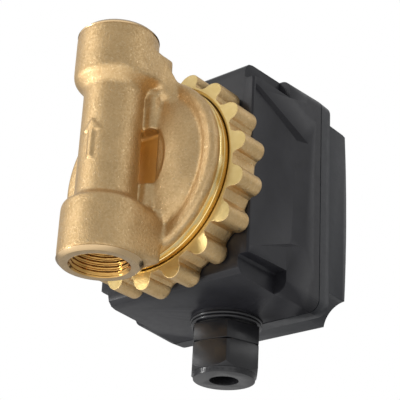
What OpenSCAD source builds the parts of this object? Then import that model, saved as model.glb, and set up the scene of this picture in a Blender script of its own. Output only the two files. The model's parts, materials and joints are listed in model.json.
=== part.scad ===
// Hot water circulation pump: cast brass body with two in-line threaded ports,
// union nut with grip lobes, wet-rotor motor in a black plastic box, cable gland below.
// Origin: centre of the inlet port's face. +Z runs up the pipe, with the flow.
// +Y runs from the pipe along the motor's axis to the back cover. Millimetres.

/* [Ports and pipe] */
// Distance between the two port faces
body_len = 90; // [84:1:120]
// Outer radius of a port
port_r = 15; // [14:0.25:18]
// Radius of the threaded bore in a port
thread_r = 10.48; // [9.5:0.02:12.5]
// Depth of the threaded bore
thread_depth = 15; // [12:0.5:17]
// Length of the inlet port's straight part
inlet_port_len = 20.2; // [18:0.2:23]
// Length of the outlet port's straight part
outlet_port_len = 18.5; // [17:0.2:22]
// Height over which the inlet port narrows to the pipe
inlet_shoulder_h = 4.1; // [3:0.1:6]
// Height over which the outlet port narrows to the pipe
outlet_shoulder_h = 6.2; // [4:0.1:8]
// Radius of the pipe between the ports
pipe_r = 10.85; // [9.5:0.05:13]
// Radius of the water passage behind the thread
passage_r = 7; // [5.5:0.1:8]
// Chamfer at each port's face
port_chamfer = 0.6; // [0.2:0.1:1]

/* [Volute casting] */
// Height of the motor's axis above the inlet face
axis_z = 42; // [40:0.5:46]
// Distance from the pipe's axis to the flange's front face
flange_front = 14; // [13.5:0.1:17]
// Thickness of the flange, front face to mating face
flange_t = 15.5; // [15:0.1:18]
// Radius of the cast front of the flange
flange_cast_r = 35.7; // [34:0.1:37]
// Radius of the flange's outer thread
flange_thread_r = 35.3; // [34.5:0.05:37.4]
// Rounding of the flange's front edge
flange_round = 1.8; // [1.2:0.1:2.2]
// Radius of the dome at its foot
dome_r = 30; // [28:0.5:31.5]
// Height of the dome above the flange's front face
dome_h = 5.5; // [4.5:0.1:7]
// Depth of the groove round the dome's foot
groove_depth = 0.8; // [0.3:0.1:1]
// Distance from the inlet face to the underside of the inlet block
inlet_block_gap = 2.2; // [1:0.1:4]
// Distance from the outlet face to the top of the outlet block
outlet_block_gap = 7.4; // [4:0.1:9]
// Height of the sloping foot between the outlet block and the flange
block_foot_h = 5.2; // [3:0.1:6]
// Width by which that foot spreads on each side
block_foot_w = 2.4; // [1:0.1:3]
// Half width of the web between pipe and dome, where it meets the dome
web_half_w = 12.2; // [10:0.1:13]

/* [Window behind the pipe] */
// Height of the window
window_h = 21; // [16:0.5:22]
// Half width of the slot behind the pipe
window_half_w = 13.3; // [13:0.1:16]
// Radius of the flat seat cut into the dome
window_seat_r = 17.6; // [17:0.1:20]
// Depth of that seat, from the dome's front
window_seat = 1.2; // [1:0.1:2.5]
// Depth of the slot behind the pipe, from the flat seat
window_slot = 3; // [2:0.1:3.6]
// Rounding of the slot's corners
window_round = 0.9; // [0.5:0.1:1]

/* [Impeller chamber] */
// Radius of the impeller chamber
chamber_r = 27.2; // [26.5:0.1:28.5]
// Depth of the impeller chamber behind the suction plate
chamber_depth = 8.4; // [8:0.1:9.4]
// Sideways shift of the chamber's spiral part
spiral_shift = 1.5; // [0.5:0.1:2]
// Radius of the passages between the ports and the volute
cross_r = 4.8; // [4:0.1:5.2]
// Thickness of the suction plate
plate_t = 1.6; // [1.2:0.1:2]
// Depth of the suction cavity in front of the suction plate
suction_depth = 3.3; // [2.5:0.1:3.6]

/* [Union nut] */
// Height of a grip lobe above the nut's ring
lobe_h = 4.9; // [4:0.1:6]
// Radius of a grip lobe
lobe_r = 3.9; // [3:0.1:4.5]
// Number of grip lobes
lobe_count = 18; // [12:1:22]
// Angle of the first lobe above the right-hand side
lobe_phase = 7.3; // [0:0.1:20]
// Wall of the nut outside its thread
nut_wall = 1.8; // [1.4:0.1:2.6]
// Length of the nut's thread over the flange
nut_thread_len = 7; // [5:0.1:8.5]
// Thickness of the nut's rear shoulder
nut_shoulder_t = 2.9; // [2:0.1:4]
// Rounding of the lobes' rear ends
lobe_round = 1.3; // [0.6:0.1:1.8]

/* [Motor housing] */
// Radius of the round neck that passes through the nut
neck_r = 30.5; // [29.5:0.1:32]
// Thickness of the flange that the nut holds
neck_flange_t = 2.5; // [2:0.1:4]
// Depth of the housing from its front face to the seam
box_depth = 40.7; // [39:0.1:50]
// Room between the stator's seat and each side of the housing, at the front
side_room_w = 4.85; // [4.6:0.05:8]
// Room between the stator's seat and the underside, at the front
room_below_h = 8.05; // [7:0.05:12]
// Room between the stator's seat and the top, at the front
room_above_h = 15.75; // [13:0.05:16.2]
// Widening of each side from the front to the seam
side_draft_w = 1; // [0.5:0.1:2]
// Drop of the underside from the front to the seam
draft_below_h = 2; // [1:0.1:3]
// Rise of the top from the front to the seam
draft_above_h = 1.4; // [0.5:0.1:1.6]
// Rounding of the four long edges
box_corner_r = 4.5; // [3:0.1:6]
// Rounding of the front face's upper and lower edges
box_lower_round = 4.5; // [2:0.1:5]
// Rounding of the front face's side edges
box_edge_round = 1.2; // [0.6:0.1:2]
// Thickness of the upper, lower and front walls
box_wall = 2.4; // [2:0.1:3]
// Thickness of the side walls
box_side_wall = 4.4; // [3.8:0.1:5]
// Width of the corner pockets
pocket_w = 5.8; // [4:0.1:6.5]
// Height of the corner pockets
pocket_h = 9; // [6:0.1:10]
// Length of the corner pockets
pocket_len = 21.3; // [14:0.1:24]
// Depth of the side recesses at the seam
recess_depth = 2.2; // [1:0.1:2.6]
// Half width of the raised pad on top
pad_half_w = 21; // [15:0.5:25]
// Height of the raised pad on top
pad_h = 1; // [0.6:0.1:1.3]
// Length of the raised pad on top
pad_len = 22; // [15:1:28]

/* [Back cover] */
// Depth of the cover from the seam to its crown
cover_depth = 19; // [17:0.1:26]
// Thickness of the seam gasket
gasket_t = 0.4; // [0.3:0.05:0.8]
// Rise of the cover's back from its ends to its crown
cover_crown = 2.7; // [1:0.1:4]
// Radius of the scoops at the cover's corners
scoop_r = 9.5; // [9:0.1:10]
// Thickness of the cover's rim in front of the scoops
scoop_floor = 6; // [4:0.1:8]

/* [Separating can] */
// Inner radius of the can around the rotor
can_r = 14.5; // [14:0.1:15]
// Wall of the can
can_wall = 0.6; // [0.4:0.05:0.8]
// Thickness of the can's flange
can_flange_t = 0.8; // [0.6:0.05:1.2]
// Radius of the can's stepped mouth
can_mouth_r = 20; // [19:0.1:21]
// Depth of the can's stepped mouth
can_mouth_depth = 2; // [1.8:0.1:2.4]
// Length of the can's tube behind the mouth
can_tube_len = 30; // [29:0.5:32]

/* [Shaft and bearings] */
// Radius of the rotor shaft
shaft_r = 3; // [2.5:0.1:3.5]
// Wall of the bearings
bearing_wall = 3; // [2:0.1:3.2]
// Length of the front bearing
front_bearing_len = 5.5; // [4:0.1:6]
// Length of the rear bearing
rear_bearing_len = 5; // [4:0.1:6]
// Thickness of the thrust washer
washer_t = 1.4; // [1:0.1:2]
// Radius of the thrust washer
washer_r = 7; // [6:0.1:8]

/* [Rotor and impeller] */
// Radial gap between rotor and can
rotor_gap = 0.8; // [0.5:0.05:1.2]
// Radius of the impeller
impeller_r = 24; // [22:0.1:25]
// Width of the impeller's vanes
vane_w = 3; // [2.4:0.1:3.2]
// Thickness of a vane
vane_t = 1.3; // [0.9:0.1:1.8]
// Number of vanes
vane_count = 6; // [5:1:7]
// Thickness of the impeller's shrouds
shroud_t = 1.4; // [1:0.1:1.5]
// Inner radius of the impeller's eye
eye_r = 6.3; // [5.5:0.1:7.5]

/* [Stator] */
// Depth of the room that a coil has between bobbin flange and yoke
coil_room_h = 5.7; // [5:0.1:6.5]
// Length of the stator core
stator_len = 14; // [12:0.5:16]
// Radial thickness of the stator's yoke
yoke_t = 4.8; // [4:0.1:5.2]
// Width of a stator tooth
tooth_w = 7; // [6:0.1:8]
// Number of stator teeth
tooth_count = 6; // [6:1:6]
// Thickness of the coils around a tooth
coil_t = 2.6; // [1.8:0.1:2.8]
// Radial thickness of the housing's seat for the stator
seat_t = 1.5; // [1.2:0.1:1.6]

/* [Control board] */
// Thickness of the control board
board_t = 1.6; // [1:0.1:2]
// Gap between the control board and the housing's side walls
board_gap = 4; // [3:0.1:6]
// Radius of the posts that carry the board
post_r = 3.4; // [3:0.1:3.6]
// Width of the film capacitor
film_w = 13; // [10:0.5:14]
// Height of the film capacitor
film_h = 12; // [10:0.5:13]
// Radius of the storage capacitor
storage_r = 7.5; // [6:0.1:8]
// Width of the terminal block
terminal_w = 27; // [24:0.5:30]
// Height of the terminal block
terminal_h = 12; // [11:0.5:13]

/* [Cable gland] */
// Distance from the seam forward to the gland's axis
gland_from_seam = 7.9; // [6:0.1:12]
// Width across flats of the gland's hexagons
gland_flats = 24; // [22:0.5:27]
// Radius of the gland's upper thread
gland_thread_r = 9.9; // [9:0.05:10.4]
// Radius of the boss that carries the gland
boss_r = 13.2; // [12.9:0.1:15]
// Height of the boss below the housing
boss_h = 3.4; // [2.5:0.1:5]
// Height of the gland body's hexagon
gland_hex_h = 6.9; // [5:0.1:9]
// Height of the gland nut's hexagon
nut_hex_h = 10.4; // [9:0.1:13]
// Height of the round end below the nut's hexagon
nut_end_h = 1.9; // [1:0.1:3]
// Radius of the cable hole
cable_r = 5.4; // [4:0.1:6]
// Thickness of the gland nut's end wall
nut_end_wall = 3.3; // [2.5:0.1:4]

/* [Fasteners] */
// Radius of the cover screws
screw_r = 1.3; // [1.1:0.05:1.5]
// Radius of the cover screws' heads
screw_head_r = 2.4; // [2:0.05:2.6]
// Radius of the board and terminal screws
small_screw_r = 1.1; // [0.9:0.05:1.3]

/* [Clearances] */
// Radial clearance of the union nut's thread
thread_gap = 0.3; // [0.2:0.05:0.4]
// Gap between the nut and what lies behind and before it
nut_gap = 0.4; // [0.3:0.05:0.6]
// Axial gap at the nut's shoulder
shoulder_gap = 0.1; // [0.05:0.05:0.2]
// Running clearance of the shaft in its bearings, on the radius
running_gap = 0.03; // [0.02:0.01:0.06]
// Clearance between seated pieces, on the radius
seat_gap = 0.05; // [0.03:0.01:0.1]
// Clearance between the impeller's neck and the suction plate
neck_gap = 0.4; // [0.3:0.05:0.6]
// Gap between the can and the stator
stator_gap = 0.3; // [0.2:0.05:0.5]
// Gap between the neck's rear end and the coils
coil_gap = 0.4; // [0.3:0.05:1]

/* [Hidden] */
$fn = 96;
over = 1; // overrun of every cut
slice_t = 0.01; // thickness of the outlines that a hull joins
hull_fn = 32;

// Places along the motor's axis, measured from the pipe's axis
flange_rear = flange_front + flange_t;
dome_front = flange_front - dome_h;
chamber_front = flange_rear - chamber_depth;
plate_front = chamber_front - plate_t;
suction_front = plate_front - suction_depth;
can_flange_rear = flange_rear + can_flange_t;
neck_flange_rear = can_flange_rear + neck_flange_t;
nut_front = flange_rear - nut_thread_len;
nut_shoulder_front = neck_flange_rear + shoulder_gap;
nut_rear = nut_shoulder_front + nut_shoulder_t;
box_front = nut_rear + nut_gap;
box_seam = box_front + box_depth;
cover_front = box_seam + gasket_t;
cover_rear = cover_front + cover_depth;
scoop_front = cover_front + scoop_floor;

// Radii that follow from others
nut_bore_r = flange_thread_r + thread_gap;
nut_valley_r = nut_bore_r + nut_wall;
nut_tip_r = nut_valley_r + lobe_h;
lobe_centre_r = nut_tip_r - lobe_r;
neck_flange_r = flange_thread_r - thread_gap / 3;
nut_shoulder_r = neck_r + nut_gap;

// Stator, from the can outwards
shoe_t = 1.8;
bobbin_t = 0.6;
can_outer_r = can_r + can_wall;
stator_inner_r = can_outer_r + stator_gap;
coil_r0 = stator_inner_r + shoe_t + 2 * seat_gap;
coil_r1 = coil_r0 + coil_room_h;
yoke_inner_r = coil_r1 + 2 * bobbin_t;
stator_r = yoke_inner_r + yoke_t;
stator_seat_r = stator_r + seat_gap;
bobbin_half_y = stator_len / 2 + bobbin_t + seat_gap;
coil_half_y = bobbin_half_y + coil_t + seat_gap;

// Outline of the housing, from the stator's seat outwards
box_half_w_front = stator_seat_r + seat_t + side_room_w;
box_half_w_seam = box_half_w_front + side_draft_w;
box_below_front = stator_seat_r + seat_t + room_below_h;
box_below_seam = box_below_front + draft_below_h;
box_above_front = stator_seat_r + seat_t + room_above_h;
box_above_seam = box_above_front + draft_above_h;
board_half_w = box_half_w_seam - box_side_wall - board_gap;

// Shares of the sizes that they follow
dome_power_share = 4.5;
dome_steps = 18;
shoulder_steps = 10;

// S-shaped blend from 0 to 1
function blend(t) = (1 - cos(180 * t)) / 2;

// Carries a shape drawn along +Z onto the motor's axis, starting at distance y
module on_motor_axis(y) {
    translate([0, y, axis_z]) rotate([-90, 0, 0]) children();
}

// Solid of revolution about the motor's axis, from points [radius, y]
module motor_revolve(points) {
    on_motor_axis(0) rotate_extrude() polygon(points);
}

// Round disc or ring on the motor's axis, from y0 to y1
module motor_ring(y0, y1, outer, inner = 0) {
    on_motor_axis(y0) difference() {
        cylinder(h = y1 - y0, r = outer);
        if (inner > 0)
            translate([0, 0, -over]) cylinder(h = y1 - y0 + 2 * over, r = inner);
    }
}

// Rectangle with round corners about the origin
module round_rect(w, h, r) {
    square([w - 2 * r, h], center = true);
    square([w, h - 2 * r], center = true);
    for (sx = [-1, 1], sy = [-1, 1])
        translate([sx * (w / 2 - r), sy * (h / 2 - r)]) circle(r);
}

// Upright plate along the motor's axis from y0 to y1, drawn from x and z limits
module plate_y(x0, x1, z0, z1, y0, y1, r) {
    translate([(x0 + x1) / 2, y1, (z0 + z1) / 2]) rotate([90, 0, 0])
        linear_extrude(height = y1 - y0) round_rect(x1 - x0, z1 - z0, r);
}

/* Volute body */

inlet_block_bottom = inlet_block_gap;
outlet_block_top = body_len - outlet_block_gap;
outlet_block_bottom = body_len - outlet_port_len - outlet_shoulder_h / 4;
block_rear = flange_front + flange_round / 4;
inlet_cross_z = axis_z - chamber_r + 1.2 * cross_r;
outlet_cross_z = axis_z + chamber_r - cross_r / 2;
bridge_z0 = inlet_cross_z + 1.2 * cross_r;
bridge_z1 = outlet_cross_z - 1.2 * cross_r;
plate_flat = chamber_r - 1.6 * cross_r;
window_seat_y = dome_front + window_seat;
window_slot_y = window_seat_y + window_slot;
seal_r = 1;
seal_centre_r = flange_thread_r - 2.7 * seal_r;
groove_half_w = 1.3 * seal_r;

pipe_points = concat(
    [[0, 0], [port_r - port_chamfer, 0], [port_r, port_chamfer]],
    [for (i = [0:shoulder_steps]) let (t = i / shoulder_steps)
        [port_r + (pipe_r - port_r) * blend(t), inlet_port_len + inlet_shoulder_h * t]],
    [for (i = [0:shoulder_steps]) let (t = i / shoulder_steps)
        [pipe_r + (port_r - pipe_r) * blend(t),
         body_len - outlet_port_len - outlet_shoulder_h * (1 - t)]],
    [[port_r, body_len - port_chamfer], [port_r - port_chamfer, body_len], [0, body_len]]
);

dome_points = concat(
    [for (i = [0:dome_steps]) let (s = i / dome_steps)
        [dome_r * s, dome_front + (dome_h + groove_depth) * pow(s, dome_power_share)]],
    [[dome_r, flange_front + flange_round], [0, flange_front + flange_round]]
);

flange_points = concat(
    [[0, flange_front + groove_depth], [dome_r, flange_front + groove_depth],
     [dome_r + 1.5 * groove_depth, flange_front]],
    [for (a = [0:15:90])
        [flange_cast_r - flange_round * (1 - sin(a)), flange_front + flange_round * (1 - cos(a))]],
    [[flange_cast_r, flange_front + flange_round * 2.2],
     [flange_thread_r, flange_front + flange_round * 2.4],
     [flange_thread_r, flange_rear], [0, flange_rear]]
);

// Block that carries a port back to the flange, round in front like the port
module port_block(z0, z1) {
    translate([-port_r, 0, z0]) cube([2 * port_r, block_rear, z1 - z0]);
}

// Web that joins the pipe to the dome, flaring towards the dome
module web(z0, z1) {
    translate([0, 0, z0]) linear_extrude(height = z1 - z0) polygon([
        [-pipe_r * 0.8, pipe_r * 0.6], [pipe_r * 0.8, pipe_r * 0.6],
        [web_half_w, dome_front + window_seat / 2], [web_half_w, window_slot_y],
        [-web_half_w, window_slot_y], [-web_half_w, dome_front + window_seat / 2]
    ]);
}

// Flat round seat in the dome, cut off above and below, and deeper slot behind the pipe
module window_cut() {
    intersection() {
        motor_ring(0, window_seat_y, window_seat_r);
        translate([-dome_r, 0, axis_z - window_h / 2]) cube([2 * dome_r, window_seat_y + over, window_h]);
    }
    translate([0, (window_seat_y + window_slot_y) / 2 - over / 2, axis_z]) rotate([90, 0, 90])
        linear_extrude(height = 2 * window_half_w, center = true)
            round_rect(window_slot + over, window_h, window_round);
}

// Suction plate's outline: a disc with its top cut flat
module suction_plate_shape(y0, y1, r, gap) {
    intersection() {
        motor_ring(y0, y1, r);
        translate([-2 * r, y0, axis_z - 2 * r]) cube([4 * r, y1 - y0, 2 * r + plate_flat + gap]);
    }
}

// Sloping foot that carries the outlet block onto the flange and fills the hollow under it
module outlet_foot() {
    block_h = outlet_block_top - outlet_block_bottom;
    hull() {
        translate([-port_r, block_rear - block_foot_h, outlet_block_bottom - block_foot_w])
            cube([2 * port_r, slice_t, block_h + block_foot_w / 4]);
        translate([-port_r - block_foot_w, block_rear - slice_t, outlet_block_bottom - 3 * block_foot_w])
            cube([2 * port_r + 2 * block_foot_w, slice_t, block_h - block_foot_w / 2]);
    }
}

module volute_body() {
    color([0.76, 0.64, 0.44]) difference() {
        union() {
            outlet_foot();
            difference() {
                motor_revolve(dome_points);
                window_cut();
            }
            motor_revolve(flange_points);
            rotate_extrude() polygon(pipe_points);
            port_block(inlet_block_bottom, inlet_port_len);
            port_block(outlet_block_bottom, outlet_block_top);
            web(inlet_port_len - inlet_shoulder_h, axis_z - window_h / 2);
            web(axis_z + window_h / 2, outlet_block_bottom + outlet_shoulder_h);
        }
        // Threaded bores and the passages behind them
        translate([0, 0, -over]) cylinder(h = thread_depth + over, r = thread_r);
        translate([0, 0, body_len - thread_depth]) cylinder(h = thread_depth + over, r = thread_r);
        translate([0, 0, thread_depth - over]) cylinder(h = bridge_z0 - thread_depth + over, r = passage_r);
        translate([0, 0, bridge_z1])
            cylinder(h = body_len - thread_depth - bridge_z1 + over, r = passage_r);
        // Cross passages to the suction cavity and from the chamber
        translate([0, 0, inlet_cross_z]) rotate([-90, 0, 0]) cylinder(h = plate_front, r = cross_r);
        translate([0, 0, outlet_cross_z]) rotate([-90, 0, 0])
            cylinder(h = chamber_front + chamber_depth / 2, r = cross_r);
        // Suction cavity around the eye
        motor_ring(suction_front, plate_front + over / 10, eye_r + cross_r);
        translate([-0.9 * cross_r, suction_front, inlet_cross_z])
            cube([1.8 * cross_r, plate_front - suction_front + over / 10, axis_z - inlet_cross_z]);
        // Seat of the suction plate, then the chamber with its spiral part
        suction_plate_shape(plate_front, chamber_front + over, chamber_r, seat_gap);
        motor_ring(chamber_front, flange_rear + over, chamber_r);
        translate([spiral_shift, 0, spiral_shift])
            motor_ring(chamber_front, flange_rear + over, chamber_r);
        // Groove of the O-ring
        motor_ring(flange_rear - 2 * seal_r, flange_rear + over,
            seal_centre_r + groove_half_w, seal_centre_r - groove_half_w);
    }
}

module suction_plate() {
    color([0.72, 0.7, 0.66]) difference() {
        suction_plate_shape(plate_front, chamber_front, chamber_r - seat_gap, 0);
        motor_ring(plate_front - over, chamber_front + over, eye_r + shroud_t + neck_gap);
    }
}

module flange_o_ring() {
    color([0.12, 0.12, 0.12]) on_motor_axis(flange_rear - seal_r)
        rotate_extrude() translate([seal_centre_r, 0]) circle(seal_r, $fn = 48);
}

/* Union nut */

// The nut seen along its axis: a round ring with half round lobes on straight flanks
module nut_outline() {
    circle(nut_valley_r);
    for (i = [0:lobe_count - 1]) rotate(-lobe_phase - i * 360 / lobe_count) {
        translate([lobe_centre_r, 0]) circle(lobe_r, $fn = 48);
        translate([nut_valley_r - nut_wall / 2, -0.96 * lobe_r])
            square([lobe_centre_r - nut_valley_r + nut_wall / 2, 1.92 * lobe_r]);
    }
}

// What the lobes are cut to: open in front, drawn in at the rear in two bevels
nut_cut_points = [
    [0, nut_front - over], [nut_tip_r + over, nut_front - over],
    [nut_tip_r + over, nut_rear - 2.4 * lobe_round],
    [nut_tip_r - 0.25 * lobe_round, nut_rear - 0.4 * lobe_round],
    [nut_tip_r - lobe_round, nut_rear + over / 10], [0, nut_rear + over / 10]
];

module union_nut() {
    color([0.8, 0.68, 0.42]) difference() {
        intersection() {
            on_motor_axis(nut_front) linear_extrude(height = nut_rear - nut_front) nut_outline();
            motor_revolve(nut_cut_points);
        }
        motor_ring(nut_front - over, nut_shoulder_front, nut_bore_r);
        motor_ring(nut_shoulder_front - over, nut_rear + over, nut_shoulder_r);
    }
}

/* Motor housing */

box_bottom = axis_z - box_below_seam;
box_top = axis_z + box_above_seam;

// Thin outline of the box at depth y, drawn in by inset on each side
module box_outline(y, half_w, below, above, r) {
    for (sx = [-1, 1], z = [axis_z - below + r, axis_z + above - r])
        translate([sx * (half_w - r), y, z]) rotate([-90, 0, 0]) cylinder(h = slice_t, r = r, $fn = hull_fn);
}

// Drafted box from the front face to the seam, its front edges rounded
module box_shell(wall, side_wall) {
    corner = box_corner_r - min(wall, box_corner_r / 2);
    rear = box_seam - slice_t + (wall > 0 ? over : 0);
    hull() {
        for (a = [0, 30, 60, 90])
            box_outline(box_front + wall + box_lower_round * (1 - cos(a)),
                box_half_w_front - side_wall - box_edge_round * (1 - sin(a)),
                box_below_front - wall - box_lower_round * (1 - sin(a)),
                box_above_front - wall - box_lower_round * (1 - sin(a)), corner);
        box_outline(rear, box_half_w_seam - side_wall, box_below_seam - wall, box_above_seam - wall, corner);
    }
}

// Runs its children at the four corners, mirrored; the children are drawn at the corner
module at_corners() {
    for (sx = [0, 1], sz = [0, 1])
        translate([0, 0, axis_z]) mirror([sx, 0, 0]) mirror([0, 0, sz])
            translate([-box_half_w_seam, 0, -(sz == 0 ? box_below_seam : box_above_seam)]) children();
}

// Square post at a corner, w wide and h high from the seam's outline, rounded inside
module corner_post(w, h, y0, y1, r) {
    plate_y(-w, w, -h, h, y0, y1, r);
}

post_wall = box_wall * 0.9;
gland_y = box_seam - gland_from_seam;
stator_mid = box_front + box_lower_round + coil_gap + coil_half_y;
stator_front = stator_mid - stator_len / 2;
can_mouth_rear = flange_rear + can_mouth_depth;
can_tube_rear = can_mouth_rear + can_tube_len;
can_cup_rear = can_tube_rear + rear_bearing_len;
board_front = can_cup_rear + can_wall + 1.5 * board_t;
board_x = board_half_w - 0.7 * post_r;
board_z0 = axis_z - box_below_seam + pocket_h + post_wall + board_gap / 4;
board_z1 = axis_z + box_above_seam - pocket_h - post_wall - board_gap / 4;
post_z0 = board_z0 + 1.25 * post_r;
post_z1 = board_z1 - 1.25 * post_r;
screw_in = scoop_r * 0.49;
neck_inner_r = can_mouth_r + 2 * can_wall;
seat_step = 1.2;

// Places of the board's four posts
module at_board_posts(y) {
    for (sx = [-1, 1], z = [post_z0, post_z1])
        translate([sx * board_x, y, z]) rotate([-90, 0, 0]) children();
}

// Side recess seen along X, made narrower at the rear and lower at the top
module recess_shape(narrowing, lowering) {
    d = box_depth;
    polygon([
        [box_front + 0.03 * d, axis_z - 0.75 * box_below_front],
        [box_front + 0.66 * d - narrowing, axis_z - 0.54 * box_below_front],
        [box_front + 0.76 * d - narrowing, axis_z - 0.5 * box_below_front],
        [box_front + 0.8 * d - narrowing, axis_z - 0.42 * box_below_front],
        [box_front + 0.825 * d - narrowing, axis_z + 0.52 * box_above_front],
        [box_front + 0.03 * d, axis_z + 0.79 * box_above_front - lowering]
    ]);
}

// Recesses whose upper and rear walls slope
module side_recesses() {
    for (sx = [0, 1]) mirror([sx, 0, 0]) hull() {
        translate([box_half_w_seam - recess_depth, 0, 0]) rotate([90, 0, 90])
            linear_extrude(height = slice_t) recess_shape(2.5 * recess_depth, 0.6 * recess_depth);
        translate([box_half_w_seam, 0, 0]) rotate([90, 0, 90])
            linear_extrude(height = over) recess_shape(0, 0);
    }
}

// The boss reaches up into the box, above the floor's slope under the locknut
boss_lift_h = 0.6;
boss_bottom = box_bottom - boss_h + boss_lift_h;
boss_top = box_bottom + box_wall + shoulder_gap
    + draft_below_h * (gland_from_seam + 0.62 * gland_flats) / (box_depth - box_wall - box_lower_round);

// Boss for the gland: a thick disc with two beads round its foot
module gland_boss(gap) {
    translate([0, gland_y, 0]) rotate_extrude() polygon([
        [0, boss_top + gap], [boss_r + gap, boss_top + gap],
        [boss_r + gap, box_bottom - 0.1 * boss_h], [boss_r - 0.2 * boss_h + gap, box_bottom - 0.4 * boss_h],
        [boss_r - 0.1 * boss_h + gap, box_bottom - 0.5 * boss_h],
        [boss_r - 0.1 * boss_h + gap, box_bottom - 0.7 * boss_h],
        [boss_r - 0.4 * boss_h + gap, boss_bottom], [0, boss_bottom]
    ]);
}

module motor_housing() {
    color([0.2, 0.2, 0.22]) difference() {
        union() {
            motor_ring(can_flange_rear, neck_flange_rear, neck_flange_r);
            motor_ring(neck_flange_rear - over, box_front + box_lower_round, neck_r);
            difference() {
                union() {
                    box_shell(0, 0);
                    plate_y(-pad_half_w, pad_half_w, axis_z, axis_z + box_above_front + pad_h,
                        box_front + box_lower_round, box_front + box_lower_round + pad_len, box_edge_round);
                }
                difference() {
                    box_shell(box_wall, box_side_wall);
                    at_corners() corner_post(pocket_w + 2 * post_wall, pocket_h + post_wall,
                        box_front, box_seam + over, post_wall);
                }
                // Pockets in the corners, open to the front
                at_corners() corner_post(pocket_w, pocket_h, box_front - over, box_front + pocket_len,
                    box_edge_round);
                side_recesses();
            }
            // Seat of the stator, with a step that its front face rests on
            motor_ring(box_front + box_wall - over, stator_front + stator_len / 2, stator_seat_r + seat_t,
                stator_seat_r - seat_step);
            at_board_posts(box_front + box_wall - over)
                cylinder(h = board_front - box_front - box_wall + over, r = post_r);
            gland_boss(0);
        }
        motor_ring(can_flange_rear - over, box_front + box_lower_round + over, neck_inner_r);
        motor_ring(stator_front, stator_front + stator_len, stator_seat_r);
        at_board_posts(board_front - 6 * small_screw_r)
            cylinder(h = 7 * small_screw_r, r = small_screw_r + seat_gap, $fn = 24);
        at_corners() translate([screw_in, scoop_front - screw_len - screw_r, screw_in]) rotate([-90, 0, 0])
            cylinder(h = screw_len + screw_r, r = screw_r + seat_gap, $fn = 24);
        translate([0, gland_y, boss_bottom - over])
            cylinder(h = boss_top - boss_bottom + 2 * over, r = gland_thread_r + seat_gap);
    }
}
screw_len = scoop_front - box_front - pocket_len - 2 * screw_r;

/* Back cover */

module cover_shell(wall, side_wall, front) {
    corner = box_corner_r - min(wall, box_corner_r / 2);
    inset = box_edge_round;
    intersection() {
        hull() {
            box_outline(front, box_half_w_seam - side_wall, box_below_seam - wall,
                box_above_seam - wall, corner);
            box_outline(cover_rear - cover_crown - wall - inset, box_half_w_seam - side_wall - inset / 3,
                box_below_seam - wall - inset / 3, box_above_seam - wall - inset / 3, corner);
            box_outline(cover_rear - wall, box_half_w_seam - side_wall - inset,
                box_below_seam - wall - inset, box_above_seam - wall - inset, corner);
        }
        cover_back_round(wall);
    }
}

// Long cylinder across the cover that gives its back a gentle crown
crown_half = (box_below_seam + box_above_seam) / 2;
crown_r = (crown_half * crown_half + cover_crown * cover_crown) / (2 * cover_crown);
module cover_back_round(wall) {
    middle = axis_z + (box_above_seam - box_below_seam) / 2;
    translate([-2 * box_half_w_seam, cover_rear - wall - crown_r, middle])
        rotate([0, 90, 0]) cylinder(h = 4 * box_half_w_seam, r = crown_r, $fn = 180);
}

module back_cover() {
    color([0.24, 0.26, 0.28]) difference() {
        union() {
            difference() {
                cover_shell(0, 0, cover_front);
                difference() {
                    cover_shell(box_wall, box_wall, cover_front - over);
                    at_corners() corner_post(scoop_r + post_wall, scoop_r + post_wall,
                        cover_front - 2 * over, cover_rear, scoop_r / 2);
                }
            }
        }
        at_corners() translate([0, scoop_front, 0]) rotate([-90, 0, 0])
            cylinder(h = cover_depth, r = scoop_r);
        at_corners() translate([screw_in, cover_front - over, screw_in]) rotate([-90, 0, 0])
            cylinder(h = scoop_floor + 2 * over, r = screw_r + seat_gap, $fn = 24);
        // Notch round the gland's boss
        gland_boss(nut_gap);
    }
}

module cover_gasket() {
    color([0.1, 0.1, 0.1]) difference() {
        plate_y(-gasket_half_w, gasket_half_w, box_bottom + gasket_in, box_top - gasket_in, box_seam,
            cover_front, box_corner_r - gasket_in);
        plate_y(-gasket_half_w + gasket_w, gasket_half_w - gasket_w, box_bottom + gasket_in + gasket_w,
            box_top - gasket_in - gasket_w, box_seam - over, cover_front + over,
            box_corner_r - gasket_in - gasket_w);
        gland_boss(nut_gap);
        at_corners() translate([screw_in, box_seam - over, screw_in]) rotate([-90, 0, 0])
            cylinder(h = gasket_t + 2 * over, r = screw_r + seat_gap, $fn = 24);
    }
}
gasket_in = box_wall / 4;
gasket_w = box_wall / 2;
gasket_half_w = box_half_w_seam - gasket_in;

module cover_screws() {
    color([0.55, 0.55, 0.57]) at_corners() translate([screw_in, scoop_front, screw_in]) {
        difference() {
            rotate([-90, 0, 0]) cylinder(h = screw_head_r * 0.9, r = screw_head_r);
            for (a = [0, 90]) translate([0, screw_head_r * 0.4, 0]) rotate([0, a, 0])
                translate([-screw_head_r * 0.7, 0, -screw_head_r * 0.15])
                    cube([screw_head_r * 1.4, screw_head_r, screw_head_r * 0.3]);
        }
        rotate([90, 0, 0]) cylinder(h = screw_len, r = screw_r, $fn = 24);
    }
}

/* Separating can, bearings, shaft and rotor */

cup_r = shaft_r + running_gap + bearing_wall;
bearing_plate_t = can_mouth_depth - can_wall / 2;
front_bearing_rear = can_mouth_rear + front_bearing_len;
washer_front = front_bearing_rear + running_gap * 5;
core_front = washer_front + washer_t;
core_rear = can_tube_rear - 2 * running_gap - rotor_gap;
rotor_r = can_r - rotor_gap;

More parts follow.
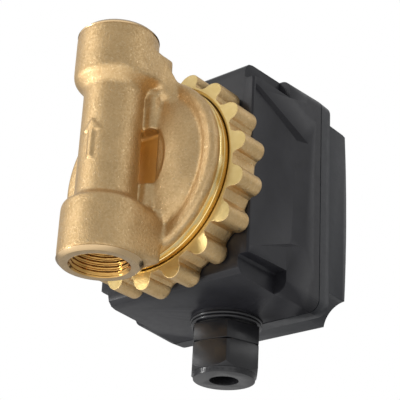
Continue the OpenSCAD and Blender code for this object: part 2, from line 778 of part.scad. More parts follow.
module separating_can() {
    color([0.7, 0.71, 0.73]) motor_revolve([
        [can_mouth_r, flange_rear], [neck_flange_r, flange_rear], [neck_flange_r, can_flange_rear],
        [can_mouth_r + can_wall, can_flange_rear], [can_mouth_r + can_wall, can_mouth_rear + can_wall],
        [can_outer_r, can_mouth_rear + can_wall], [can_outer_r, can_tube_rear + can_wall],
        [cup_r + can_wall, can_tube_rear + can_wall], [cup_r + can_wall, can_cup_rear + can_wall],
        [0, can_cup_rear + can_wall], [0, can_cup_rear], [cup_r, can_cup_rear], [cup_r, can_tube_rear],
        [can_r, can_tube_rear], [can_r, can_mouth_rear], [can_mouth_r, can_mouth_rear]
    ]);
}

module bearing_plate() {
    color([0.66, 0.67, 0.69]) difference() {
        union() {
            motor_ring(can_mouth_rear - bearing_plate_t, can_mouth_rear, can_mouth_r - seat_gap);
            motor_ring(can_mouth_rear - bearing_plate_t, front_bearing_rear, cup_r + 3 * can_wall);
        }
        motor_ring(can_mouth_rear - bearing_plate_t - over, front_bearing_rear + over, cup_r + seat_gap);
        // Small holes that let water into the rotor space
        for (a = [45:90:315]) on_motor_axis(can_mouth_rear - bearing_plate_t - over)
            rotate([0, 0, a]) translate([(cup_r + can_r) / 2 + can_wall, 0, 0])
                cylinder(h = bearing_plate_t + 2 * over, r = can_wall * 2, $fn = 24);
    }
}

module front_bearing() {
    color([0.15, 0.15, 0.16]) motor_ring(can_mouth_rear - bearing_plate_t, front_bearing_rear, cup_r,
        shaft_r + running_gap);
}

module rear_bearing() {
    color([0.15, 0.15, 0.16]) motor_ring(can_tube_rear, can_cup_rear, cup_r - seat_gap,
        shaft_r + running_gap);
}

module thrust_washer() {
    color([0.9, 0.89, 0.85]) motor_ring(washer_front, core_front, washer_r, shaft_r + seat_gap);
}

shroud_front = chamber_front + neck_gap;
vane_front = shroud_front + shroud_t;
vane_rear = vane_front + vane_w;
shroud_rear = vane_rear + shroud_t;
hub_r = shaft_r * 1.9;
hub_rear = can_mouth_rear - bearing_plate_t - neck_gap;
shaft_front = vane_front + 0.5 * vane_w;
shaft_rear = can_cup_rear - neck_gap;

module rotor_shaft() {
    color([0.93, 0.92, 0.88]) motor_ring(shaft_front, shaft_rear, shaft_r);
}

module rotor_core() {
    color([0.35, 0.35, 0.37]) difference() {
        union() {
            motor_ring(core_front, core_rear, rotor_r - can_wall / 2);
            // End caps a little proud of the magnets
            motor_ring(core_front, core_front + washer_t, rotor_r);
            motor_ring(core_rear - washer_t, core_rear, rotor_r);
        }
        motor_ring(core_front - over, core_rear + over, shaft_r + seat_gap);
    }
}

// One vane, swept back: a strip between two round arcs, cut to the impeller
module vane_shape() {
    arc = impeller_r * 0.75;
    intersection() {
        difference() {
            circle(impeller_r);
            circle(eye_r + vane_t);
        }
        translate([-arc * 0.35, arc * 0.75]) difference() {
            circle(arc);
            circle(arc - vane_t);
        }
        translate([0, -impeller_r]) square([impeller_r, impeller_r * 1.75]);
    }
}

module impeller() {
    color([0.86, 0.84, 0.78]) difference() {
        union() {
            motor_ring(vane_rear, shroud_rear, impeller_r);
            motor_ring(vane_rear - over / 10, hub_rear, hub_r);
            motor_revolve([[0, vane_front + running_gap], [hub_r * 0.4, vane_front + running_gap],
                [hub_r, vane_rear], [hub_r, shroud_rear], [0, shroud_rear]]);
            for (i = [0:vane_count - 1]) on_motor_axis(vane_front)
                rotate([0, 0, i * 360 / vane_count]) linear_extrude(height = vane_w + over / 10) vane_shape();
        }
        motor_ring(shaft_front, hub_rear + over, shaft_r + seat_gap);
    }
}

module impeller_shroud() {
    color([0.86, 0.84, 0.78]) difference() {
        union() {
            motor_ring(shroud_front, vane_front, impeller_r);
            motor_ring(plate_front + running_gap, vane_front, eye_r + shroud_t);
        }
        motor_ring(plate_front - over, vane_front + over, eye_r);
    }
}

/* Stator */

bobbin_half = tooth_w / 2 + bobbin_t + seat_gap;
coil_half = bobbin_half + coil_t + seat_gap;

module stator_core() {
    color([0.5, 0.5, 0.52]) on_motor_axis(stator_front) linear_extrude(height = stator_len) {
        difference() {
            circle(stator_r);
            circle(yoke_inner_r);
        }
        intersection() {
            difference() {
                circle(stator_r - yoke_t / 2);
                circle(stator_inner_r);
            }
            for (i = [0:tooth_count - 1]) rotate(i * 360 / tooth_count)
                translate([0, -tooth_w / 2]) square([stator_r, tooth_w]);
        }
        difference() {
            circle(stator_inner_r + shoe_t);
            circle(stator_inner_r);
            for (i = [0:tooth_count - 1]) rotate((i + 0.5) * 360 / tooth_count)
                translate([0, -shoe_t]) square([stator_r, 2 * shoe_t]);
        }
    }
}

// Runs its children once per tooth, drawn with the tooth along +X and its length along Y
module at_teeth() {
    for (i = [0:tooth_count - 1]) translate([0, stator_mid, axis_z])
        rotate([0, i * 360 / tooth_count, 0]) children();
}

// Rectangular tube round a tooth, from radius r0 to r1
module tooth_frame(r0, r1, half_z, half_y, hole_z, hole_y, r) {
    translate([r0, 0, 0]) rotate([90, 0, 90]) linear_extrude(height = r1 - r0) difference() {
        round_rect(2 * half_y, 2 * half_z, r);
        square([2 * hole_y, 2 * hole_z], center = true);
    }
}

module coil_bobbins() {
    hole_z = tooth_w / 2 + seat_gap;
    hole_y = stator_len / 2 + seat_gap;
    color([0.9, 0.9, 0.86]) at_teeth() {
        tooth_frame(coil_r0, coil_r1, bobbin_half, bobbin_half_y, hole_z, hole_y, bobbin_t / 2);
        tooth_frame(coil_r0, coil_r0 + bobbin_t, coil_half, coil_half_y, hole_z, hole_y, coil_t);
        tooth_frame(coil_r1 - bobbin_t, coil_r1, coil_half, coil_half_y, hole_z, hole_y, coil_t);
    }
}

module stator_coils() {
    color([0.72, 0.4, 0.2]) at_teeth()
        tooth_frame(coil_r0 + bobbin_t + seat_gap, coil_r1 - bobbin_t - seat_gap, coil_half - seat_gap,
            coil_half_y - seat_gap, bobbin_half + seat_gap, bobbin_half_y + seat_gap, coil_t);
}

pin_r = 0.6;
pin_ring_r = (coil_r0 + coil_r1) / 2;

// Places of the three pins, one on each of three coils
module at_pins(y) {
    for (a = [0, 60, 120]) translate([pin_ring_r * cos(a), y, axis_z + pin_ring_r * sin(a)])
        rotate([-90, 0, 0]) children();
}

module phase_pins() {
    color([0.78, 0.76, 0.7]) at_pins(stator_mid + coil_half_y - seat_gap)
        cylinder(h = board_front + board_t * 1.8 - stator_mid - coil_half_y, r = pin_r, $fn = 24);
}

/* Control board */

board_rear = board_front + board_t;
part_depth = 0.62 * (cover_rear - cover_crown - box_wall - board_rear);
terminal_z0 = board_z0 + 0.12 * terminal_w;
terminal_pitch = terminal_w * 0.3;
film_x0 = -0.93 * board_half_w;
film_z1 = board_z1 - 3.2 * post_r;
storage_x = 0.5 * board_half_w;
storage_z = board_z1 - storage_r * 1.3;

module control_board() {
    color([0.1, 0.36, 0.2]) difference() {
        plate_y(-board_half_w, board_half_w, board_z0, board_z1, board_front, board_rear, board_t);
        at_board_posts(board_front - over)
            cylinder(h = board_t + 2 * over, r = small_screw_r + seat_gap, $fn = 24);
        at_pins(board_front - over) cylinder(h = board_t + 2 * over, r = pin_r + 2 * seat_gap, $fn = 24);
    }
}

module board_screws() {
    color([0.7, 0.7, 0.72]) at_board_posts(board_rear) {
        cylinder(h = small_screw_r, r = 1.9 * small_screw_r, $fn = 32);
        translate([0, 0, -board_t - 4 * small_screw_r])
            cylinder(h = board_t + 4 * small_screw_r, r = small_screw_r, $fn = 24);
    }
}

module film_capacitor() {
    color([0.75, 0.65, 0.15])
        plate_y(film_x0, film_x0 + film_w, film_z1 - film_h, film_z1, board_rear,
            board_rear + part_depth, board_t);
}

module storage_capacitor() {
    color([0.12, 0.14, 0.3]) translate([storage_x, board_rear, storage_z]) rotate([-90, 0, 0]) {
        cylinder(h = part_depth, r = storage_r);
        translate([0, 0, part_depth]) cylinder(h = pin_r, r1 = storage_r, r2 = storage_r - pin_r);
    }
}

module terminal_block() {
    color([0.15, 0.4, 0.25]) difference() {
        plate_y(-terminal_w / 2, terminal_w / 2, terminal_z0, terminal_z0 + terminal_h, board_rear,
            board_rear + part_depth, board_t / 2);
        for (i = [-1:1]) {
            translate([i * terminal_pitch, board_rear + part_depth / 2, terminal_z0 + 0.62 * terminal_h])
                rotate([-90, 0, 0]) cylinder(h = part_depth, r = 2 * small_screw_r, $fn = 32);
            // Wire funnels, open downwards to the gland
            translate([i * terminal_pitch, board_rear + part_depth / 4, terminal_z0 - over])
                cylinder(h = 0.35 * terminal_h + over, r = 1.5 * small_screw_r, $fn = 32);
        }
    }
}

module terminal_screws() {
    color([0.72, 0.72, 0.7])
        for (i = [-1:1])
            translate([i * terminal_pitch, board_rear + part_depth / 2, terminal_z0 + 0.62 * terminal_h])
            rotate([-90, 0, 0]) difference() {
                cylinder(h = 1.6 * small_screw_r, r = 2 * small_screw_r - seat_gap, $fn = 32);
                translate([-2 * small_screw_r, -0.3 * small_screw_r, small_screw_r])
                    cube([4 * small_screw_r, 0.6 * small_screw_r, small_screw_r]);
            }
}

/* Cable gland */

gland_washer_t = 0.6;
gland_hex_top = boss_bottom - gland_washer_t;
gland_hex_bottom = gland_hex_top - gland_hex_h;
gland_nut_top = gland_hex_bottom - shoulder_gap;
gland_nut_hex_bottom = gland_nut_top - nut_hex_h;
gland_nut_bottom = gland_nut_hex_bottom - nut_end_h;
hex_turn = -49;
gland_nut_wall = 2.7;
lower_thread_r = gland_flats / 2 - gland_nut_wall;
seal_wall = 2.4;
lower_thread_len = nut_hex_h * 0.62;
locknut_h = 4;

// Plain hexagonal bar on the gland's axis
module hex_prism(z0, z1, flats) {
    translate([0, gland_y, z0]) rotate([0, 0, hex_turn])
        cylinder(h = z1 - z0, r = flats / 2 / cos(30), $fn = 6);
}

// Hexagonal bar with its upper corners cut round, and the lower ones too if both
module hex_bar(z0, z1, flats, both) {
    cut = flats * 0.06;
    r = flats / 2 / cos(30);
    intersection() {
        hex_prism(z0, z1, flats);
        translate([0, gland_y, 0]) rotate_extrude() polygon(concat(
            [[0, z0]],
            both ? [[flats / 2 + cut / 6, z0], [r + cut, z0 + 2 * cut]] : [[r + cut, z0]],
            [[r + cut, z1 - cut], [flats / 2 + cut / 2, z1], [0, z1]]
        ));
    }
}

// Ring on the gland's axis between two heights
module gland_ring(z0, z1, outer, inner) {
    translate([0, gland_y, z0]) difference() {
        cylinder(h = z1 - z0, r = outer);
        translate([0, 0, -over]) cylinder(h = z1 - z0 + 2 * over, r = inner);
    }
}

module gland_body() {
    color([0.15, 0.15, 0.16]) difference() {
        union() {
            hex_prism(gland_hex_bottom, gland_hex_top, gland_flats);
            translate([0, gland_y, gland_hex_top]) cylinder(h = stem_len, r = gland_thread_r);
            translate([0, gland_y, gland_hex_bottom - lower_thread_len])
                cylinder(h = lower_thread_len + over, r = lower_thread_r);
        }
        translate([0, gland_y, gland_hex_bottom - lower_thread_len - over])
            cylinder(h = lower_thread_len + stem_len + gland_hex_h + 2 * over, r = cable_r + seal_wall / 3);
        translate([0, gland_y, gland_hex_bottom - lower_thread_len - over])
            cylinder(h = lower_thread_len + over, r = cable_r + seal_wall + seat_gap);
    }
}
stem_len = boss_top - gland_hex_top + 1.8 * locknut_h;

module gland_washer() {
    color([0.1, 0.1, 0.1])
        gland_ring(gland_hex_top, boss_bottom, gland_thread_r + 4 * gland_washer_t,
            gland_thread_r + seat_gap);
}

module gland_locknut() {
    color([0.2, 0.2, 0.21]) difference() {
        hex_bar(boss_top, boss_top + locknut_h, gland_flats * 1.04, false);
        translate([0, gland_y, boss_top - over])
            cylinder(h = locknut_h + 2 * over, r = gland_thread_r + seat_gap);
    }
}

module gland_seal() {
    color([0.08, 0.08, 0.08]) gland_ring(gland_nut_bottom + nut_end_wall + shoulder_gap,
        gland_hex_bottom - seat_gap, cable_r + seal_wall, cable_r + neck_gap);
}

module gland_nut() {
    color([0.15, 0.15, 0.16]) difference() {
        union() {
            hex_bar(gland_nut_hex_bottom, gland_nut_top, gland_flats, true);
            translate([0, gland_y, gland_nut_bottom]) cylinder(h = nut_end_h + over,
                r1 = gland_flats / 2 - port_chamfer, r2 = gland_flats / 2 - seat_gap);
        }
        translate([0, gland_y, gland_nut_bottom - over])
            cylinder(h = nut_end_wall + 2 * over, r = cable_r);
        translate([0, gland_y, gland_nut_bottom + nut_end_wall])
            cylinder(h = nut_hex_h + over, r = lower_thread_r + seat_gap);
    }
}

volute_body();
suction_plate();
flange_o_ring();
union_nut();
motor_housing();
separating_can();
bearing_plate();
front_bearing();
rear_bearing();
thrust_washer();
rotor_shaft();
rotor_core();
impeller();
impeller_shroud();
stator_core();
coil_bobbins();
stator_coils();
phase_pins();
back_cover();
cover_gasket();
cover_screws();
control_board();
board_screws();
film_capacitor();
storage_capacitor();
terminal_block();
terminal_screws();
gland_body();
gland_washer();
gland_locknut();
gland_seal();
gland_nut();
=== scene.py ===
# Hot water circulation pump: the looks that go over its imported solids.
# Metres, in the pump's own frame: +Z up the pipe, +Y along the motor's axis, +X to the right.
import json
from math import atan2, cos, pi, radians, sin, sqrt

import bmesh
import bpy
import numpy as np
from mathutils import Euler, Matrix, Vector


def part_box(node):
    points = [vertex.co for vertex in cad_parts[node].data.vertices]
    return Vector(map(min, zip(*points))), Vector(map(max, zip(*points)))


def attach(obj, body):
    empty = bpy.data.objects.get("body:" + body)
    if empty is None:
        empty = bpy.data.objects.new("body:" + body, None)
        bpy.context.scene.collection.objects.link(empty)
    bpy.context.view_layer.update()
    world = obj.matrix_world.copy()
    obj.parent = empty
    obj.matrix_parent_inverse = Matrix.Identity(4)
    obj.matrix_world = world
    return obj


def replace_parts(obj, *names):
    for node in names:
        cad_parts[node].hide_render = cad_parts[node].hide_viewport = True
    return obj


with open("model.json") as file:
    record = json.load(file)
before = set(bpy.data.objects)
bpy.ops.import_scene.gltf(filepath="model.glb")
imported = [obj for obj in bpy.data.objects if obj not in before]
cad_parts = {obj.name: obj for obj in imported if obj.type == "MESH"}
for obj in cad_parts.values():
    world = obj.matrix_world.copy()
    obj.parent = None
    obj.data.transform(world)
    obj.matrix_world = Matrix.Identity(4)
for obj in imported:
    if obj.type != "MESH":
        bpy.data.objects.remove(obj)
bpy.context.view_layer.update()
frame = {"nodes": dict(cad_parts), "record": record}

MM = 0.001


def add_object(name, data):
    """New object of some data, linked to the scene."""
    made = bpy.data.objects.new(name, data)
    bpy.context.scene.collection.objects.link(made)
    return made


# Camera, at the photograph's angle

CAMERA_PLACE = (0.29856, -0.29585, -0.17136)
CAMERA_TURN = (115.327, -2.805, 39.464)
CAMERA_LENS = 120.45
CAMERA_SENSOR = 36
CAMERA_NEAR = 0.01
CAMERA_FAR = 20


def make_camera():
    data = bpy.data.cameras.new("camera")
    data.lens = CAMERA_LENS
    data.sensor_width = CAMERA_SENSOR
    data.clip_start = CAMERA_NEAR
    data.clip_end = CAMERA_FAR
    camera = add_object("camera", data)
    camera.location = CAMERA_PLACE
    camera.rotation_euler = Euler([radians(a) for a in CAMERA_TURN], "XYZ")
    bpy.context.scene.camera = camera


make_camera()
bpy.context.scene.view_settings.view_transform = "Standard"


# Sizes that the pieces made here share with the solids

def corner(node, side, axis):
    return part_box(node)[side]["xyz".index(axis)]


AXIS_Z = 42 * MM
PORT_R = 15 * MM
PIPE_R = 10.85 * MM
THREAD_ROOT_R = 10.48 * MM
THREAD_DEPTH = 15 * MM
FACE_TO_FACE = corner("volute_body", 1, "z")
FLANGE_R = 35.3 * MM
FLANGE_FRONT = 14 * MM
FLANGE_REAR = corner("volute_body", 1, "y")
NUT_FRONT = corner("union_nut", 0, "y")
NUT_REAR = corner("union_nut", 1, "y")
NUT_SHOULDER_T = 2.9 * MM
NUT_BORE_R = 35.6 * MM
NUT_VALLEY_R = 37.4 * MM
NUT_TIP_R = 42.3 * MM
NUT_HOLE_R = 30.9 * MM
LOBE_R = 3.9 * MM
LOBE_COUNT = 18
LOBE_PHASE = radians(7.3)

# Sizes of the ports' turned faces and threads, which only this script has
PORT_CHAMFER = 1.45 * MM
COUNTERSINK_R = 10.8 * MM
THREAD_PITCH = 1.814 * MM
THREAD_H = 0.75 * MM

# Unit in which the small roundings of turned edges are written
EASE = 0.1 * MM


# Material helpers

PIPE_AXIS = 2
MOTOR_AXIS = 1
ORIGIN = (0, 0, 0)
MOTOR_CENTRE = (0, 0, AXIS_Z)
WHITE = (1.0, 1.0, 1.0, 1.0)
MIX_FACTOR = 0
# First input, second input and output of the Mix node, by what it mixes
MIX_SOCKETS = {"FLOAT": (2, 3, 0), "VECTOR": (4, 5, 1), "RGBA": (6, 7, 2)}
# Parts of the range of noise that are stretched to the whole range
SOFT_PATCH = (0.35, 0.65)
SOFT_SHINE = (0.3, 0.7)


def colour(r, g, b):
    return (r, g, b, 1.0)


class Nodes:
    """A node tree under construction: makes nodes and links them in short calls."""

    def __init__(self, tree):
        self.tree = tree
        self.coords = self.node("ShaderNodeTexCoord").outputs

    def node(self, kind, **settings):
        made = self.tree.nodes.new(kind)
        for key, value in settings.items():
            setattr(made, key, value)
        return made

    def link(self, source, target):
        self.tree.links.new(source, target)

    def feed(self, socket, value):
        """Puts a plain value on a socket, or links another node's output to it."""
        if isinstance(value, (int, float, tuple)):
            socket.default_value = value
        else:
            self.link(value, socket)

    def maths(self, operation, *values):
        made = self.node("ShaderNodeMath", operation=operation)
        for socket, value in zip(made.inputs, values):
            self.feed(socket, value)
        return made.outputs[0]

    def split(self, vector):
        """X, Y and Z of a vector."""
        made = self.node("ShaderNodeSeparateXYZ")
        self.link(vector, made.inputs[0])
        return made.outputs

    def remap(self, value, low, high, to_low=0.0, to_high=1.0, curve="LINEAR"):
        made = self.node("ShaderNodeMapRange", interpolation_type=curve)
        for key, number in (("From Min", low), ("From Max", high), ("To Min", to_low), ("To Max", to_high)):
            made.inputs[key].default_value = number
        self.link(value, made.inputs["Value"])
        return made.outputs["Result"]

    def mix(self, factor, a, b, kind="RGBA"):
        """What lies between two colours, or between two values or vectors where kind says so."""
        first, second, result = MIX_SOCKETS[kind]
        made = self.node("ShaderNodeMix", data_type=kind)
        self.feed(made.inputs[first], a)
        self.feed(made.inputs[second], b)
        self.feed(made.inputs[MIX_FACTOR], factor)
        return made.outputs[result]

    def mix_value(self, factor, a, b):
        return self.mix(factor, a, b, "FLOAT")

    def noise(self, size, detail, rough=0.5, vector=None):
        made = self.node("ShaderNodeTexNoise")
        made.inputs["Scale"].default_value = 1 / size
        made.inputs["Detail"].default_value = detail
        made.inputs["Roughness"].default_value = rough
        self.link(vector or self.coords["Object"], made.inputs["Vector"])
        return made.outputs["Fac"]

    def patchy(self, size, a, b, rough=0.5):
        """Colour that wanders between a and b in soft patches."""
        return self.mix(self.remap(self.noise(size, detail=3, rough=rough), *SOFT_PATCH), a, b)

    def worn(self, rough, size, low, high, detail=3, grain=0.5):
        """Roughness that wanders between the shares low and high of its value."""
        return self.remap(self.noise(size, detail, grain), *SOFT_SHINE, rough * low, rough * high)

    def bump(self, height, distance):
        made = self.node("ShaderNodeBump")
        made.inputs["Distance"].default_value = distance
        self.link(height, made.inputs["Height"])
        return made.outputs["Normal"]

    def radius(self, axis, centre):
        """Distance from an axis through centre, and the place along the axis."""
        place = self.split(self.coords["Object"])
        squares = []
        for i in range(3):
            if i != axis:
                off = self.maths("SUBTRACT", place[i], centre[i])
                squares.append(self.maths("MULTIPLY", off, off))
        return self.maths("SQRT", self.maths("ADD", *squares)), place[axis]

    def grooves(self, pitch, depth, axis, centre):
        """Fine turned grooves about an axis through centre."""
        along = self.maths("ADD", *self.radius(axis, centre))
        wave = self.maths("SINE", self.maths("MULTIPLY", along, 2 * pi / pitch))
        return self.bump(self.maths("MULTIPLY_ADD", wave, 0.5, 0.5), depth)


class Shader(Nodes):
    """A material under construction, with a Principled surface."""

    def __init__(self, name):
        self.mat = bpy.data.materials.new(name)
        self.mat.use_nodes = True
        super().__init__(self.mat.node_tree)
        self.surface = self.tree.nodes["Principled BSDF"].inputs

    def set(self, **values):
        """Feeds the surface's sockets, with an underscore for each space in a name."""
        for key, value in values.items():
            self.feed(self.surface[key.replace("_", " ")], value)

    def done(self, base, rough, normal):
        self.set(Base_Color=base, Roughness=rough, Normal=normal)
        return self.mat


# Brass

CAST_TONE = colour(0.64, 0.43, 0.205)
CAST_DARK = colour(0.54, 0.355, 0.162)
CAST_LIGHT = colour(0.82, 0.62, 0.36)
NUT_TONE = colour(0.73, 0.50, 0.235)
NUT_DARK = colour(0.62, 0.415, 0.18)
NUT_FACE = (colour(0.88, 0.66, 0.28), colour(0.82, 0.60, 0.23))
# Painted glow: lighter gold laid on the hollow beside the pipe, in place of light bouncing between its brass
# walls
HOLLOW_PAINTED_GLOW = colour(0.95, 0.72, 0.40)
PORT_FACE = (colour(0.60, 0.44, 0.25), colour(0.52, 0.37, 0.2))
# Thread colour: darker and more orange than the face, as painted shade and inter-reflected glow inside the
# bore
PORT_THREAD_PAINTED_SHADE = (colour(0.55, 0.32, 0.10), colour(0.48, 0.27, 0.075))
PORT_EDGE = colour(0.60, 0.43, 0.24)
BAND_GOLD = (colour(0.96, 0.75, 0.36), colour(0.89, 0.67, 0.3))

# Sand cast surface: sizes of its patches, grain, specks and dimples, and how far grain and specks lighten it
CAST_PATCH = 7 * MM
CAST_GRAIN = 0.85 * MM
CAST_SPECK = 0.8 * MM
CAST_DIMPLE = 1.6 * MM
CAST_HEIGHT = 0.11 * MM
GRAIN_TINT = 0.4
SPECK_TINT = 0.6
DIMPLE_SHARE = 0.35
GRAIN_RANGE = (0.33, 0.67)
SPECK_RANGE = (0.58, 0.7)
# Roughness from plain ground to the brightest specks
CAST_ROUGH = (0.5, 0.26)

# Hollow beside the pipe, where the painted glow and the smoother finish lie: half height, front and half
# width, each from the start to the end of a soft edge
HOLLOW_HALF_H = (9.8 * MM, 10.8 * MM)
HOLLOW_FRONT = (4.5 * MM, 6.5 * MM)
HOLLOW_HALF_W = (12.0 * MM, 12.6 * MM)
HOLLOW_ROUGH = 0.28

# Y of the normal where the nut's machined front starts and where it is full
NUT_FACING = (-0.8, -0.9)


def cast_look(s, tone, dark):
    """Sand cast surface: colour, roughness and grain of one brass casting."""
    grain = s.remap(s.noise(CAST_GRAIN, detail=3, rough=0.7), *GRAIN_RANGE)
    specks = s.remap(s.noise(CAST_SPECK, detail=2), *SPECK_RANGE)
    base = s.patchy(CAST_PATCH, dark, tone, rough=0.6)
    base = s.mix(s.maths("MULTIPLY", grain, GRAIN_TINT), base, CAST_LIGHT)
    base = s.mix(s.maths("MULTIPLY", specks, SPECK_TINT), base, CAST_LIGHT)
    rough = s.remap(s.maths("ADD", grain, specks), 0.0, 1 + SPECK_TINT, *CAST_ROUGH)
    height = s.mix_value(DIMPLE_SHARE, grain, s.noise(CAST_DIMPLE, detail=2))
    return base, rough, s.bump(height, CAST_HEIGHT)


def make_cast_brass():
    """Cast surface, smoother where the casting is hollow beside the pipe, with a painted glow of lighter
    gold there.
    """
    s = Shader("cast_brass")
    s.set(Metallic=1.0)
    base, rough, normal = cast_look(s, CAST_TONE, CAST_DARK)
    x, y, z = s.split(s.coords["Object"])
    high = s.maths("ABSOLUTE", s.maths("SUBTRACT", z, AXIS_Z))
    wide = s.maths("ABSOLUTE", x)
    hollow = s.maths("MULTIPLY", s.remap(high, *HOLLOW_HALF_H, 1.0, 0.0), s.remap(y, *HOLLOW_FRONT))
    hollow = s.maths("MULTIPLY", hollow, s.remap(wide, *HOLLOW_HALF_W, 1.0, 0.0))
    # Painted glow: the hollow's colour is mixed towards a light gold that stands in for light bouncing
    # inside it
    return s.done(s.mix(hollow, base, HOLLOW_PAINTED_GLOW), s.mix_value(hollow, rough, HOLLOW_ROUGH), normal)


def make_nut_brass():
    """Cast lobes with a machined front face, told apart by which way the surface faces."""
    face_metal = 0.6
    face_rough = 0.2
    s = Shader("nut_brass")
    base, rough, grain = cast_look(s, NUT_TONE, NUT_DARK)
    _, facing, _ = s.split(s.coords["Normal"])
    front = s.remap(facing, *NUT_FACING)
    turned = s.grooves(pitch=0.4 * MM, depth=0.005 * MM, axis=MOTOR_AXIS, centre=MOTOR_CENTRE)
    s.set(Metallic=s.mix_value(front, 1.0, face_metal))
    base = s.mix(front, base, s.patchy(2.5 * MM, *NUT_FACE))
    return s.done(base, s.mix_value(front, rough, face_rough), s.mix(front, grain, turned, "VECTOR"))


def make_port_brass():
    """Dull end face round a thread painted darker and more orange as shade and inter-reflected glow inside
    the bore, told apart by the distance from the pipe's axis.
    """
    thread_rough = 0.14
    face_rough = 0.3
    edge_rough = 0.2
    s = Shader("port_brass")
    s.set(Metallic=1.0)
    radius, _ = s.radius(PIPE_AXIS, ORIGIN)
    face = s.remap(radius, COUNTERSINK_R - 2 * EASE, COUNTERSINK_R + EASE)
    inner = PORT_R - PORT_CHAMFER
    edge = s.remap(radius, inner - 0.5 * EASE, inner + 1.5 * EASE)
    # The thread's colour is painted shade: darker and more orange inside the bore
    base = s.mix(face, s.patchy(2 * MM, *PORT_THREAD_PAINTED_SHADE), s.patchy(3 * MM, *PORT_FACE))
    base = s.mix(edge, base, PORT_EDGE)
    rough = s.mix_value(edge, s.mix_value(face, thread_rough, face_rough), edge_rough)
    wear = s.worn(1.0, size=1.2 * MM, low=0.85, high=1.2)
    normal = s.grooves(pitch=0.35 * MM, depth=0.004 * MM, axis=PIPE_AXIS, centre=ORIGIN)
    return s.done(base, s.maths("MULTIPLY", wear, rough), normal)


def make_band_brass():
    """Bright turned band with fine grooves round the motor's axis."""
    s = Shader("band_brass")
    s.set(Metallic=1.0)
    rough = s.worn(0.2, size=1.2 * MM, low=0.8, high=1.25)
    normal = s.grooves(pitch=0.3 * MM, depth=0.006 * MM, axis=MOTOR_AXIS, centre=MOTOR_CENTRE)
    return s.done(s.patchy(3 * MM, *BAND_GOLD), rough, normal)


# Plastics, rubber, ceramic and the metals inside

# Two tones, roughness, size and height of the grain in millimetres, and specular level
PLASTICS = {
    "black_plastic": ((0.021, 0.021, 0.025), (0.027, 0.027, 0.032), 0.32, 0.28, 0.006, 0.3),
    "cover_plastic": ((0.020, 0.022, 0.027), (0.026, 0.028, 0.034), 0.34, 0.28, 0.006, 0.3),
    "gland_plastic": ((0.016, 0.016, 0.018), (0.020, 0.020, 0.023), 0.24, 0.35, 0.004, 0.5),
    "seal_rubber": ((0.012, 0.012, 0.012), (0.02, 0.02, 0.02), 0.7, 0.4, 0.02, 0.3),
    "carbon": ((0.03, 0.03, 0.032), (0.05, 0.05, 0.052), 0.35, 0.3, 0.004, 0.5),
    "ceramic": ((0.86, 0.84, 0.78), (0.9, 0.88, 0.83), 0.2, 0.5, 0.002, 0.5),
    "moulded_polymer": ((0.68, 0.64, 0.55), (0.74, 0.7, 0.6), 0.45, 0.4, 0.008, 0.5),
    "bobbin_plastic": ((0.75, 0.75, 0.7), (0.8, 0.8, 0.75), 0.45, 0.4, 0.008, 0.5),
    "board_green": ((0.012, 0.12, 0.04), (0.018, 0.16, 0.06), 0.3, 0.6, 0.01, 0.5),
    "film_yellow": ((0.55, 0.38, 0.03), (0.6, 0.43, 0.05), 0.25, 0.5, 0.004, 0.5),
    "capacitor_sleeve": ((0.01, 0.014, 0.06), (0.014, 0.02, 0.08), 0.2, 0.5, 0.003, 0.5),
    "terminal_green": ((0.02, 0.16, 0.06), (0.03, 0.2, 0.08), 0.4, 0.4, 0.006, 0.5),
}
# Two tones, roughness, and the axis that the streaks run along, if any
METALS = {
    "stainless": ((0.55, 0.56, 0.58), (0.64, 0.65, 0.67), 0.25, 1),
    "rotor_steel": ((0.25, 0.25, 0.27), (0.34, 0.34, 0.36), 0.35, 1),
    "lamination": ((0.3, 0.3, 0.32), (0.42, 0.42, 0.44), 0.4, 0),
    "copper_winding": ((0.72, 0.3, 0.12), (0.8, 0.38, 0.18), 0.3, 1),
    "pin_metal": ((0.7, 0.68, 0.6), (0.78, 0.76, 0.7), 0.25, None),
    "zinc_screw": ((0.5, 0.51, 0.53), (0.62, 0.63, 0.65), 0.28, None),
}
PLASTIC_PATCH = 9 * MM
STREAK_SIZE = 0.5 * MM
STREAK_HEIGHT = 0.004 * MM
# Scale of the noise along the streaks, which draws them out
STREAK_SHARE = 0.06
# Shares of the roughness from the first tone to the second
STREAK_WEAR = (0.8, 1.3)


def make_plastic(name, tone_a, tone_b, rough, grain_size, grain_height, specular):
    s = Shader(name)
    s.set(Metallic=0.0, Specular_IOR_Level=specular)
    base = s.patchy(PLASTIC_PATCH, colour(*tone_a), colour(*tone_b))
    wear = s.worn(rough, size=2.5 * MM, low=0.88, high=1.12, detail=4, grain=0.6)
    return s.done(base, wear, s.bump(s.noise(grain_size * MM, detail=2, rough=0.6), grain_height * MM))


def make_metal(name, tone_a, tone_b, rough, streak_axis):
    s = Shader(name)
    s.set(Metallic=1.0)
    vector = None
    if streak_axis is not None:
        mapping = s.node("ShaderNodeMapping")
        mapping.inputs["Scale"].default_value = [STREAK_SHARE if i == streak_axis else 1.0 for i in range(3)]
        s.link(s.coords["Object"], mapping.inputs["Vector"])
        vector = mapping.outputs["Vector"]
    streaks = s.remap(s.noise(STREAK_SIZE, detail=3, rough=0.6, vector=vector), *SOFT_SHINE)
    base = s.mix(streaks, colour(*tone_a), colour(*tone_b))
    wear = s.remap(streaks, 0.0, 1.0, *(rough * share for share in STREAK_WEAR))
    return s.done(base, wear, s.bump(streaks, STREAK_HEIGHT))


LOOKS = {"cast_brass": make_cast_brass(), "nut_brass": make_nut_brass()}
LOOKS.update({name: make_plastic(name, *row) for name, row in PLASTICS.items()})
LOOKS.update({name: make_metal(name, *row) for name, row in METALS.items()})
port_brass = make_port_brass()
band_brass = make_band_brass()

